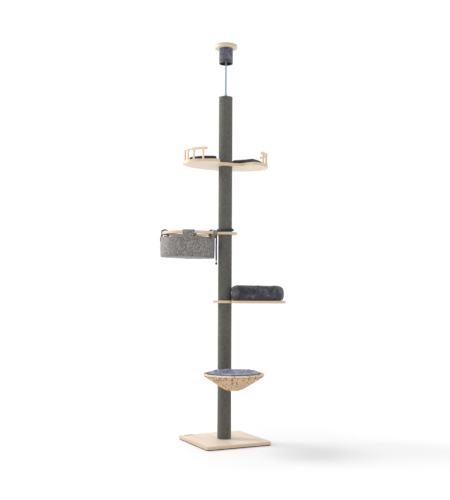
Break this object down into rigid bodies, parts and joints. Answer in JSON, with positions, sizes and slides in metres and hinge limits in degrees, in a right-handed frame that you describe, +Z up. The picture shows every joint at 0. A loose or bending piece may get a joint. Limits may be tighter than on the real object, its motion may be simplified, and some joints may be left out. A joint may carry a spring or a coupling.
{
  "type": "cat tree",
  "caption": "Floor-to-ceiling cat tree: square base, wrapped post, woven basket, padded shelf, felt hammock, railed platform and screw-out ceiling head.",
  "frame": {"origin": "centre of the base's underside, on the floor", "axes": "+Z up along the post; X and Y along the edges of the square base"},
  "size_m": [0.8, 0.7248, 2.6],
  "materials": {
    "mat_rubber": "matt black anti-slip foam rubber",
    "base_ply": "pale veneered board, clear matt lacquer",
    "birch_ply": "birch plywood with visible plies on its edge, clear matt lacquer",
    "turned_wood": "turned beech, sanded and oiled",
    "plug_wood": "raw softwood",
    "card_tube": "spiral-wound card tube",
    "post_cord": "grey cord wound close round the post, heathered",
    "steel": "plain zinc-plated steel",
    "zinc_steel": "blue-passivated zinc on a rolled thread",
    "badge_plate": "blank dark plate",
    "plush_slate": "short-pile plush, slate grey, mottled",
    "plush_blue": "short-pile plush, blue grey",
    "grey_felt": "thick heathered grey felt",
    "hook_loop": "black hook-and-loop tape",
    "black_rope": "black twisted cord",
    "ball_rubber": "matt black rubber ball",
    "woven_fibre": "woven natural fibre, tan"
  },
  "bodies": {
    "base": {"floor_mat": "mat_rubber", "base_board": "base_ply", "base_bolt": "steel", "base_badge": "badge_plate", "post_core_1": "card_tube", "post_core_2": "card_tube", "post_core_3": "card_tube", "post_core_4": "card_tube", "post_core_5": "card_tube", "post_wrap_1": "post_cord", "post_wrap_2": "post_cord", "post_wrap_3": "post_cord", "post_wrap_4": "post_cord", "post_wrap_5": "post_cord", "post_plugs": "plug_wood", "post_top_plug": "plug_wood", "level_studs": "steel", "spindle_insert": "steel"},
    "ceiling_head": {"threaded_spindle": "zinc_steel", "head_core": "card_tube", "head_plush": "plush_slate", "head_plug": "plug_wood", "head_washer": "steel", "head_nut": "steel", "ceiling_board": "birch_ply", "ceiling_pad": "mat_rubber", "head_screws": "steel"},
    "nut": {"lock_nut": "zinc_steel"},
    "platform": {"platform_board": "birch_ply", "left_balusters": "turned_wood", "right_balusters": "turned_wood", "left_rail": "turned_wood", "right_rail": "turned_wood"},
    "platform_pad": {"platform_cushion": "plush_slate"},
    "hammock": {"hammock_board": "birch_ply", "hammock_bag": "grey_felt", "hammock_tabs": "grey_felt", "hook_loop_patches": "hook_loop", "rope_wrap": "black_rope"},
    "rope_toy": {"play_rope": "black_rope", "rope_ferrule": "steel", "toy_ball": "ball_rubber"},
    "shelf": {"shelf_board": "birch_ply"},
    "bed": {"bed_bolster": "plush_slate", "bed_pad_inner": "plush_slate"},
    "basket": {"basket_hub": "birch_ply", "basket_hoop": "steel", "basket_rim": "woven_fibre", "basket_bowl": "woven_fibre"},
    "basket_pad": {"basket_cushion": "plush_blue"}
  },
  "joints": [
    {"name": "head_raise", "type": "slide", "parent": "base", "child": "ceiling_head", "axis": [0, 0, 1], "range_m": [-0.18, 0.06]},
    {"name": "nut_turn", "type": "hinge", "parent": "base", "child": "nut", "pos_m": [0, 0, 2.2725], "axis": [0, 0, 1], "continuous": true},
    {"name": "platform_swivel", "type": "hinge", "parent": "base", "child": "platform", "pos_m": [0, 0, 1.802], "axis": [0, 0, 1], "continuous": true},
    {"name": "platform_pad_lift", "type": "slide", "parent": "platform", "child": "platform_pad", "axis": [0, 0, 1], "range_m": [0, 0.15]},
    {"name": "hammock_swivel", "type": "hinge", "parent": "base", "child": "hammock", "pos_m": [0, 0, 1.352], "axis": [0, 0, 1], "continuous": true},
    {"name": "rope_swing", "type": "hinge", "parent": "hammock", "child": "rope_toy", "pos_m": [-0.05101, 0.02543, 1.3396], "axis": [-0.8949, 0.4462, 0], "range_deg": [-25, 25]},
    {"name": "shelf_swivel", "type": "hinge", "parent": "base", "child": "shelf", "pos_m": [0, 0, 0.907], "axis": [0, 0, 1], "continuous": true},
    {"name": "bed_lift", "type": "slide", "parent": "shelf", "child": "bed", "axis": [0, 0, 1], "range_m": [0, 0.2]},
    {"name": "basket_swivel", "type": "hinge", "parent": "base", "child": "basket", "pos_m": [0, 0, 0.462], "axis": [0, 0, 1], "continuous": true},
    {"name": "basket_pad_lift", "type": "slide", "parent": "basket", "child": "basket_pad", "axis": [0, 0, 1], "range_m": [0, 0.15]}
  ]
}
